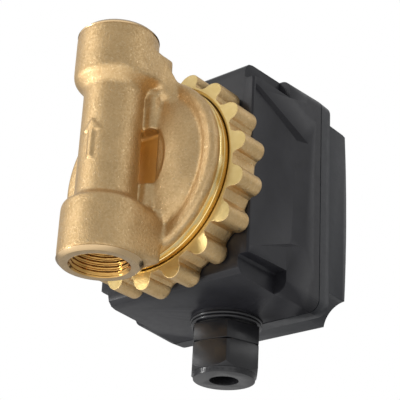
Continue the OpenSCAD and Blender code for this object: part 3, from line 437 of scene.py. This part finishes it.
# Each solid takes the look that its record names
for part in frame["record"]["subparts"]:
    slots = frame["nodes"][part["node"]].data.materials
    slots.clear()
    slots.append(LOOKS[part["material_slot"]])


# Piece helpers

MERGE_GAP = 0.002 * MM


def put(name, mesh, material, body):
    """Makes an object of a mesh and lets it ride on a body."""
    mesh.materials.clear()
    mesh.materials.append(material)
    made = add_object(name, mesh)
    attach(made, body)
    return made


def edit(mesh, change):
    """Runs a change on a mesh that is open for editing."""
    work = bmesh.new()
    work.from_mesh(mesh)
    change(work)
    work.to_mesh(mesh)
    work.free()


def face_outwards(work):
    bmesh.ops.recalc_face_normals(work, faces=work.faces)


def angles_round(count):
    return [2 * pi * k / count for k in range(count)]


def ring_mesh(name, rings, crisp):
    """Closed surface through rings of equal count, the last joined to the first.

    Edges sharper than crisp degrees stay crisp under smooth shading.
    """
    count = len(rings[0])
    faces = []
    for i in range(len(rings)):
        a = i * count
        b = (i + 1) % len(rings) * count
        for k in range(count):
            n = (k + 1) % count
            faces.append((a + k, a + n, b + n, b + k))
    mesh = bpy.data.meshes.new(name)
    mesh.from_pydata([p for ring in rings for p in ring], [], faces)
    mesh.validate()
    edit(mesh, face_outwards)
    mesh.shade_smooth()
    mesh.set_sharp_from_angle(angle=radians(crisp))
    return mesh


def on_motor_axis(radius, angle, y):
    return (radius * cos(angle), y, AXIS_Z + radius * sin(angle))


def merged_copy(node):
    """Copy of a solid's mesh with its doubled corners joined."""
    mesh = frame["nodes"][node].data.copy()
    edit(mesh, lambda work: bmesh.ops.remove_doubles(work, verts=work.verts, dist=MERGE_GAP))
    return mesh


def get_points(mesh):
    flat = np.empty(len(mesh.vertices) * 3)
    mesh.vertices.foreach_get("co", flat)
    return flat.reshape(-1, 3)


def set_points(mesh, points):
    mesh.vertices.foreach_set("co", points.ravel())
    mesh.update()


def with_modifier(name, mesh, kind, **settings):
    """The mesh after one modifier, added to a passing object."""
    passing = add_object(name + "_work", mesh)
    modifier = passing.modifiers.new(kind.lower(), kind)
    for key, value in settings.items():
        setattr(modifier, key, value)
    graph = bpy.context.evaluated_depsgraph_get()
    made = bpy.data.meshes.new_from_object(passing.evaluated_get(graph))
    made.name = name
    bpy.data.objects.remove(passing)
    return made


def relax(mesh, weights, rounds):
    """Moves each point towards the middle of its neighbours, by its weight, some rounds."""
    points = get_points(mesh)
    ends = np.empty(len(mesh.edges) * 2, dtype=np.int64)
    mesh.edges.foreach_get("vertices", ends)
    a, b = ends.reshape(-1, 2).T
    size = len(points)
    count = np.bincount(np.r_[a, b], minlength=size)[:, None]
    for _ in range(rounds):
        total = np.zeros_like(points)
        for i in range(3):
            total[:, i] = np.bincount(a, points[b, i], size) + np.bincount(b, points[a, i], size)
        points += weights[:, None] * (total / count - points)
    set_points(mesh, points)


# Casting: the solid's own mesh, remeshed and relaxed so that every cast edge is rounded

ARROW_TAIL_Z = 36.4 * MM
ARROW_TIP_Z = 51.5 * MM
ARROW_HEAD_Z = 47.1 * MM
ARROW_X = 1.3 * MM
ARROW_HALF_W = 0.95 * MM
ARROW_HEAD_HALF_W = 3.7 * MM
ARROW_RISE = 0.75 * MM
ARROW_ROOT = 1.5 * MM

RIB_X = 11.0 * MM
RIB_Y = 8.9 * MM
RIB_R = 2.0 * MM
RIB_SIDES = 16
RIB_SPANS = ((16 * MM, 31.2 * MM), (52.8 * MM, 68 * MM))

# Chamfer of the solid's ports, and how near a point lies to a size or a level that it is on
SOLID_CHAMFER = 0.6 * MM
ON_SIZE = 0.05 * MM
ON_LEVEL = 0.01 * MM
# Room left for the threads and for the band, which are pieces of their own
THREAD_ROOM = 0.5 * MM
BAND_ROOM = 0.6 * MM

CASTING_VOXEL = 0.4 * MM
CASTING_ROUNDS = 34
FOOT_ROUNDS = 40
# Weights of the relaxing: everywhere, round the windows, on the arrow and at the feet of the blocks
PLAIN_WEIGHT = 0.55
WINDOW_WEIGHT = 0.15
ARROW_WEIGHT = 0.06
FOOT_WEIGHT = 0.5
# Where those are: across, along the motor's axis, and up or down from that axis
WINDOW_Y = (6 * MM, 14 * MM)
WINDOW_HALF_H = 11.3 * MM
ARROW_FRONT_Y = -9 * MM
ARROW_MARGIN = 2 * MM
FOOT_X = (9 * MM, 20 * MM)
FOOT_Y = (4 * MM, 13 * MM)
FOOT_H = (18 * MM, 30 * MM)


def between(values, low, high):
    return (values > low) & (values < high)


def prism_faces(n):
    """Faces of a prism whose points are the n corners of one end and then of the other."""
    ends = [tuple(range(n)), tuple(range(2 * n - 1, n - 1, -1))]
    return ends + [(i, i + n, (i + 1) % n + n, (i + 1) % n) for i in range(n)]


def arrow_solid():
    """Raised arrow on the front of the pipe that shows which way the water flows."""
    outline = [
        (-ARROW_HALF_W, ARROW_TAIL_Z), (ARROW_HALF_W, ARROW_TAIL_Z), (ARROW_HALF_W, ARROW_HEAD_Z),
        (ARROW_HEAD_HALF_W, ARROW_HEAD_Z), (0, ARROW_TIP_Z), (-ARROW_HEAD_HALF_W, ARROW_HEAD_Z),
        (-ARROW_HALF_W, ARROW_HEAD_Z),
    ]
    points = []
    for radius in (PIPE_R + ARROW_RISE, PIPE_R - ARROW_ROOT):
        for x, z in outline:
            angle = (x + ARROW_X) / PIPE_R
            points.append((radius * sin(angle), -radius * cos(angle), z))
    return points, prism_faces(len(outline))


def rib_solid(side, span):
    """Round rib along the edge of a web between pipe and volute."""
    around = [(side * RIB_X + RIB_R * cos(a), RIB_Y + RIB_R * sin(a)) for a in angles_round(RIB_SIDES)]
    return [(x, y, z) for z in span for x, y in around], prism_faces(RIB_SIDES)


def fit_for_turned_pieces(mesh):
    """Makes room for the threads and the band, and widens the chamfers of the ports."""
    points = get_points(mesh)
    radius = np.hypot(points[:, 0], points[:, 1])
    for z_face, inward in ((0.0, 1), (FACE_TO_FACE, -1)):
        depth = (points[:, 2] - z_face) * inward
        bore = (depth < THREAD_DEPTH + ON_LEVEL) & (abs(radius - THREAD_ROOT_R) < ON_SIZE)
        points[bore, :2] *= (THREAD_ROOT_R + THREAD_ROOM) / THREAD_ROOT_R
        face_edge = (abs(depth) < ON_LEVEL) & (abs(radius - (PORT_R - SOLID_CHAMFER)) < ON_SIZE)
        points[face_edge, :2] *= (PORT_R - PORT_CHAMFER - 1.5 * EASE) / (PORT_R - SOLID_CHAMFER)
        side_edge = (abs(depth - SOLID_CHAMFER) < ON_LEVEL) & (abs(radius - PORT_R) < ON_SIZE)
        points[side_edge, 2] = z_face + inward * (PORT_CHAMFER + EASE)
    band = abs(np.hypot(points[:, 0], points[:, 2] - AXIS_Z) - FLANGE_R) < ON_SIZE
    shrink = (FLANGE_R - BAND_ROOM) / FLANGE_R
    points[band, 0] *= shrink
    points[band, 2] = AXIS_Z + (points[band, 2] - AXIS_Z) * shrink
    set_points(mesh, points)


def add_reliefs(work):
    """Adds the arrow and the ribs, which the remesh then joins to the casting."""
    ribs = [rib_solid(side, span) for side in (-1, 1) for span in RIB_SPANS]
    for points, faces in (arrow_solid(), *ribs):
        corners = [work.verts.new(p) for p in points]
        for face in faces:
            work.faces.new([corners[i] for i in face])
    face_outwards(work)


def round_edges(mesh):
    """Rounds every edge, less at the windows and the arrow, and more at the feet of the port blocks."""
    x, y, z = get_points(mesh).T
    level = abs(z - AXIS_Z)
    window = (level < WINDOW_HALF_H) & between(y, *WINDOW_Y)
    arrow = (y < ARROW_FRONT_Y) & between(z, ARROW_TAIL_Z - ARROW_MARGIN, ARROW_TIP_Z + ARROW_MARGIN)
    weights = np.where(window, WINDOW_WEIGHT, PLAIN_WEIGHT)
    weights[arrow] = ARROW_WEIGHT
    foot = between(abs(x), *FOOT_X) & between(y, *FOOT_Y) & between(level, *FOOT_H)
    relax(mesh, weights, CASTING_ROUNDS)
    relax(mesh, np.where(foot, FOOT_WEIGHT, 0.0), FOOT_ROUNDS)


def make_casting():
    mesh = merged_copy("volute_body")
    fit_for_turned_pieces(mesh)
    edit(mesh, add_reliefs)
    mesh = with_modifier("casting", mesh, "REMESH", mode="VOXEL", voxel_size=CASTING_VOXEL)
    round_edges(mesh)
    mesh.shade_smooth()
    return put("casting", mesh, LOOKS["cast_brass"], "casting")


casting = make_casting()
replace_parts(casting, "volute_body")


# Threads and turned faces of the two ports

THREAD_TURN_STEPS = 128
THREAD_PITCH_STEPS = 14
COUNTERSINK_SLOPE = 0.8
RING_EMBED = 0.9 * MM
COLLAR_DEPTH = 4 * MM
PORT_CRISP = 30


def thread_share(turns):
    """Height of a worn round thread over one pitch, from root 0 to crest 1."""
    return 0.5 - 0.5 * cos(2 * pi * turns)


def make_port(name, z_face, inward):
    """Turned end face, countersink and thread of one port, as one closed sleeve."""
    angles = angles_round(THREAD_TURN_STEPS)

    def ring(radius, depth):
        return [(radius * cos(a), radius * sin(a), z_face + inward * depth) for a in angles]

    def thread_ring(depth):
        row = []
        for a in angles:
            share = thread_share(depth / THREAD_PITCH - inward * a / (2 * pi))
            sink = COUNTERSINK_R - 0.5 * EASE - COUNTERSINK_SLOPE * depth
            radius = max(THREAD_ROOT_R - THREAD_H * share, sink)
            row.append((radius * cos(a), radius * sin(a), z_face + inward * depth))
        return row

    inner = PORT_R - PORT_CHAMFER
    rings = [
        ring(PORT_R - 5 * EASE, COLLAR_DEPTH),
        ring(PORT_R - 4.5 * EASE, PORT_CHAMFER + 5 * EASE),
        ring(PORT_R - EASE, PORT_CHAMFER + 2 * EASE),
        ring(PORT_R + 0.2 * EASE, PORT_CHAMFER),
        ring(PORT_R - EASE, PORT_CHAMFER - 2 * EASE),
        ring(inner + 1.2 * EASE, 0.6 * EASE),
        ring(inner - 0.6 * EASE, 0.0),
        ring(COUNTERSINK_R + 1.5 * EASE, 0.0),
        ring(COUNTERSINK_R, 0.5 * EASE),
    ]
    steps = int(THREAD_DEPTH / THREAD_PITCH * THREAD_PITCH_STEPS)
    rings += [thread_ring(THREAD_DEPTH * i / steps) for i in range(steps + 1)]
    rings += [
        ring(THREAD_ROOT_R + RING_EMBED, THREAD_DEPTH),
        ring(THREAD_ROOT_R + RING_EMBED, RING_EMBED),
        ring(inner - 3 * EASE, RING_EMBED),
        ring(inner, COLLAR_DEPTH),
    ]
    put(name, ring_mesh(name, rings, PORT_CRISP), port_brass, "casting")


make_port("inlet_thread", 0.0, 1)
make_port("outlet_thread", FACE_TO_FACE, -1)


# Turned band round the flange, with its fine steps

BAND_STEPS = 192
BAND_CRISP = 30
BAND_FRONT = FLANGE_FRONT + 4.3 * MM
# Millimetres below the flange's radius, and millimetres behind the band's front or before its rear
BAND_FROM_FRONT = (
    (1.2, 0.1), (0.62, 0), (0.12, 0.22), (0, 0.5), (0, 1.5), (0.22, 1.62), (0.22, 2.7), (0.02, 2.9),
)
BAND_FROM_REAR = ((0.02, 0.3), (0.3, 0), (1.2, 0))


def make_band():
    profile = [(FLANGE_R - below * MM, BAND_FRONT + behind * MM) for below, behind in BAND_FROM_FRONT]
    profile += [(FLANGE_R - below * MM, FLANGE_REAR - before * MM) for below, before in BAND_FROM_REAR]
    rings = [[on_motor_axis(r, a, y) for a in angles_round(BAND_STEPS)] for r, y in profile]
    mesh = ring_mesh("flange_band", rings, BAND_CRISP)
    put("flange_band", mesh, band_brass, "casting")


make_band()


# Union nut

VALLEY_FILLET = 0.8 * MM
VALLEY_DRAW = 0.35
NUT_CONE = 0.25
NUT_LIP_W = 0.95 * MM
NUT_REAR_ROUND = 1.7 * MM
NUT_HOLE_CHAMFER = 0.4 * MM
NUT_PLAIN_END = 4 * MM
NUT_CRISP = 20
TIP_STEPS = 14
FILLET_STEPS = 5
VALLEY_STEPS = 3
REAR_STEPS = 6


def half_lobe(inset):
    """Points (along the lobe, across it) from the tip to the middle of the valley."""
    tip = LOBE_R - inset
    floor = NUT_VALLEY_R - VALLEY_DRAW * inset
    centre = NUT_TIP_R - LOBE_R
    fillet = VALLEY_FILLET + inset
    points = []
    for i in range(TIP_STEPS + 1):
        a = pi / 2 * i / TIP_STEPS
        points.append((centre + tip * cos(a), tip * sin(a)))
    across = tip + fillet
    along = sqrt((floor + fillet) ** 2 - across ** 2)
    end = atan2(-across, -along) + 2 * pi
    for i in range(FILLET_STEPS + 1):
        a = pi + (end - pi) * i / FILLET_STEPS
        points.append((along + fillet * cos(a), across + fillet * sin(a)))
    foot = atan2(points[-1][1], points[-1][0])
    middle = pi / LOBE_COUNT
    for i in range(1, VALLEY_STEPS + 1):
        a = foot + (middle - foot) * i / VALLEY_STEPS
        points.append((floor * cos(a), floor * sin(a)))
    return points


def nut_outline(inset):
    """Angle and radius of each point round the lobed outline, drawn in by inset."""
    half = half_lobe(inset)
    whole = [(u, -v) for u, v in reversed(half[1:])] + half[:-1]
    points = []
    for i in range(LOBE_COUNT):
        turn = LOBE_PHASE + 2 * pi * i / LOBE_COUNT
        for u, v in whole:
            points.append((turn + atan2(v, u), sqrt(u * u + v * v)))
    return points


def make_nut():
    angles = [a for a, _ in nut_outline(0.0)]
    lip_r = NUT_BORE_R + NUT_LIP_W
    shoulder = NUT_REAR - NUT_SHOULDER_T

    def round_ring(radius, y):
        return [on_motor_axis(radius, a, y) for a in angles]

    def lobed(inset, y):
        return [on_motor_axis(r, a, y) for a, r in nut_outline(inset)]

    def coned(inset, drop):
        """Lobed outline on the shallow cone that the front faces are turned to."""
        y = NUT_FRONT + drop
        return [on_motor_axis(r, a, y + (r - lip_r) * NUT_CONE) for a, r in nut_outline(inset)]

    rings = [
        round_ring(NUT_BORE_R, NUT_FRONT + 7 * EASE),
        round_ring(NUT_BORE_R + EASE, NUT_FRONT + 5 * EASE),
        round_ring(lip_r - 0.6 * EASE, NUT_FRONT + 0.3 * EASE),
        round_ring(lip_r + 0.6 * EASE, NUT_FRONT),
        coned(1.6 * EASE, 0.0),
        coned(0.5 * EASE, 0.5 * EASE),
        coned(0.0, 1.6 * EASE),
        lobed(0.0, NUT_FRONT + NUT_PLAIN_END),
        lobed(0.0, NUT_REAR - NUT_PLAIN_END),
    ]
    for i in range(REAR_STEPS + 1):
        a = pi / 2 * i / REAR_STEPS
        rings.append(lobed(NUT_REAR_ROUND * (1 - cos(a)), NUT_REAR - NUT_REAR_ROUND * (1 - sin(a))))
    rings += [
        round_ring(NUT_HOLE_R + NUT_HOLE_CHAMFER, NUT_REAR),
        round_ring(NUT_HOLE_R, NUT_REAR - NUT_HOLE_CHAMFER),
        round_ring(NUT_HOLE_R, shoulder),
        round_ring(NUT_BORE_R, shoulder),
    ]
    mesh = ring_mesh("nut_ring", rings, NUT_CRISP)
    return put("nut_ring", mesh, LOOKS["nut_brass"], "nut_ring")


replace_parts(make_nut(), "union_nut")


# Moulded pieces: the solids' own meshes with their sharp edges rounded

FLAT_ANGLE = radians(1)
SHARP_ANGLE = radians(28)
ROUNDING_STEPS = 3


def join_flat_faces(work):
    bmesh.ops.dissolve_limit(work, angle_limit=FLAT_ANGLE, verts=work.verts, edges=work.edges)


def rounded(node, body, slot, width):
    name = node + "_moulded"
    mesh = merged_copy(node)
    edit(mesh, join_flat_faces)
    mesh.shade_smooth()
    mesh = with_modifier(name, mesh, "BEVEL", width=width, segments=ROUNDING_STEPS, limit_method="ANGLE",
                         angle_limit=SHARP_ANGLE, harden_normals=True, miter_outer="MITER_ARC")
    piece = put(name, mesh, LOOKS[slot], body)
    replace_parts(piece, node)


rounded("motor_housing", "motor_head", "black_plastic", 0.45 * MM)
rounded("back_cover", "motor_head", "cover_plastic", 0.8 * MM)
rounded("gland_body", "motor_head", "gland_plastic", 0.3 * MM)
rounded("gland_nut", "gland_cap", "gland_plastic", 0.3 * MM)


# Two glossy beads round the foot of the gland's boss

GLAND_Y = (corner("gland_nut", 0, "y") + corner("gland_nut", 1, "y")) / 2
BOSS_BOTTOM = corner("gland_washer", 1, "z")
BOSS_DEPTH = 2.8 * MM
BOSS_R = 13.2 * MM
# Millimetres inside the boss's side, millimetres below its top, and radius in millimetres
BEADS = ((0.25, 0.45, 0.72), (0.45, 1.75, 0.62))
BEAD_HALF_TURN = radians(75)
BEAD_STEPS = 10
BEAD_TURN_STEPS = 128
BEAD_CRISP = 40


def make_beads():
    top = BOSS_BOTTOM + BOSS_DEPTH
    foot = BOSS_BOTTOM - 0.2 * EASE
    profile = [(BOSS_R - 15 * EASE, top + 6 * EASE), (BOSS_R - EASE, top + 6 * EASE)]
    for inside, below, size in BEADS:
        for i in range(BEAD_STEPS + 1):
            a = BEAD_HALF_TURN - 2 * BEAD_HALF_TURN * i / BEAD_STEPS
            radius = BOSS_R - inside * MM + size * MM * cos(a)
            profile.append((radius, top - below * MM + size * MM * sin(a)))
    profile += [(BOSS_R - 12 * EASE, foot), (BOSS_R - 25 * EASE, foot)]
    angles = angles_round(BEAD_TURN_STEPS)
    rings = [[(r * cos(a), GLAND_Y + r * sin(a), z) for a in angles] for r, z in profile]
    mesh = ring_mesh("gland_beads", rings, BEAD_CRISP)
    put("gland_beads", mesh, LOOKS["gland_plastic"], "motor_head")


make_beads()


# Pale floor: the camera sees it as near white, and reflections see it as bright in front of the pump

FLOOR_Z = -0.32
FLOOR_HALF = 3.0
FLOOR_TONE = colour(0.7, 0.7, 0.7)
FLOOR_ROUGH = 0.9
FLOOR_SEEN_GLOW = 0.5
FLOOR_MIRRORED_GLOW = 0.75
# Y of the two ends of the mirrored glow's fade, and the share of the glow at each
FLOOR_FADE = (-0.2, 0.15, 1.0, 0.06)


def make_floor_material():
    s = Shader("floor_pale")
    s.set(Base_Color=FLOOR_TONE, Roughness=FLOOR_ROUGH, Emission_Color=WHITE)
    path = s.node("ShaderNodeLightPath").outputs
    mirrored = s.maths("MAXIMUM", path["Is Glossy Ray"], path["Is Transmission Ray"])
    _, y, _ = s.split(s.coords["Object"])
    fade = s.remap(y, *FLOOR_FADE, "SMOOTHSTEP")
    in_mirror = s.maths("MULTIPLY", s.maths("MULTIPLY", mirrored, FLOOR_MIRRORED_GLOW), fade)
    in_camera = s.maths("MULTIPLY", path["Is Camera Ray"], FLOOR_SEEN_GLOW)
    s.set(Emission_Strength=s.maths("ADD", in_mirror, in_camera))
    return s.mat


def make_floor():
    mesh = bpy.data.meshes.new("floor")
    corners = [(x * FLOOR_HALF, y * FLOOR_HALF, FLOOR_Z) for x, y in ((-1, -1), (1, -1), (1, 1), (-1, 1))]
    mesh.from_pydata(corners, [], [(0, 1, 2, 3)])
    mesh.materials.append(make_floor_material())
    return add_object("floor", mesh)


floor = make_floor()


# Room: dim below, plain above, with a soft box in front on the left and a weak one on the right

UP = (0, 0, 1)
ROOM_DIM = 0.16
ROOM_PLAIN = 0.6
# Cosines of the turn from a glow's direction, from where it starts to where it is full
ROOM_SPREAD = (-0.4, 0.6)
BOX_SPREAD = (0.72, 0.97)
SOFT_BOXES = (((-0.64, -0.66, 0.38), 0.44), ((0.75, 0.5, 0.43), 0.12))


def make_world():
    world = bpy.data.worlds.new("studio")
    bpy.context.scene.world = world
    world.use_nodes = True
    s = Nodes(world.node_tree)

    def glow(direction, spread, low, high):
        """Strength that goes from low to high as a ray turns towards a direction."""
        towards = s.node("ShaderNodeVectorMath", operation="DOT_PRODUCT")
        s.link(s.coords["Generated"], towards.inputs[0])
        s.feed(towards.inputs[1], tuple(Vector(direction).normalized()))
        return s.remap(towards.outputs["Value"], *spread, low, high, "SMOOTHSTEP")

    room = glow(UP, ROOM_SPREAD, ROOM_DIM, ROOM_PLAIN)
    for direction, strength in SOFT_BOXES:
        room = s.maths("ADD", room, glow(direction, BOX_SPREAD, 0.0, strength))
    seen = s.node("ShaderNodeLightPath").outputs["Is Camera Ray"]
    background = s.tree.nodes["Background"].inputs
    s.feed(background["Color"], WHITE)
    s.feed(background["Strength"], s.mix_value(seen, room, 1.0))


make_world()


# Lamps: place, width and height, and watts; all point at the middle of the pump

MIDDLE = (0.0, 0.03, 0.042)
LAMPS = {
    "key": ((-0.45, -0.6, 0.5), (0.35, 0.35), 0.65),
    "right_strip": ((0.75, 0.25, 0.45), (0.1, 0.4), 0.3),
    "low_front": ((-0.5, -0.5, -0.18), (0.1, 0.24), 1.5),
    "spark": ((-0.308, -0.81, 0.118), (0.14, 0.14), 0.4),
}


def make_lamp(name, place, size, power):
    data = bpy.data.lights.new(name, "AREA")
    data.shape = "RECTANGLE"
    data.size, data.size_y = size
    data.energy = power
    made = add_object(name, data)
    made.location = place
    made.rotation_euler = (Vector(MIDDLE) - Vector(place)).to_track_quat("-Z", "Y").to_euler()


for lamp, row in LAMPS.items():
    make_lamp(lamp, *row)
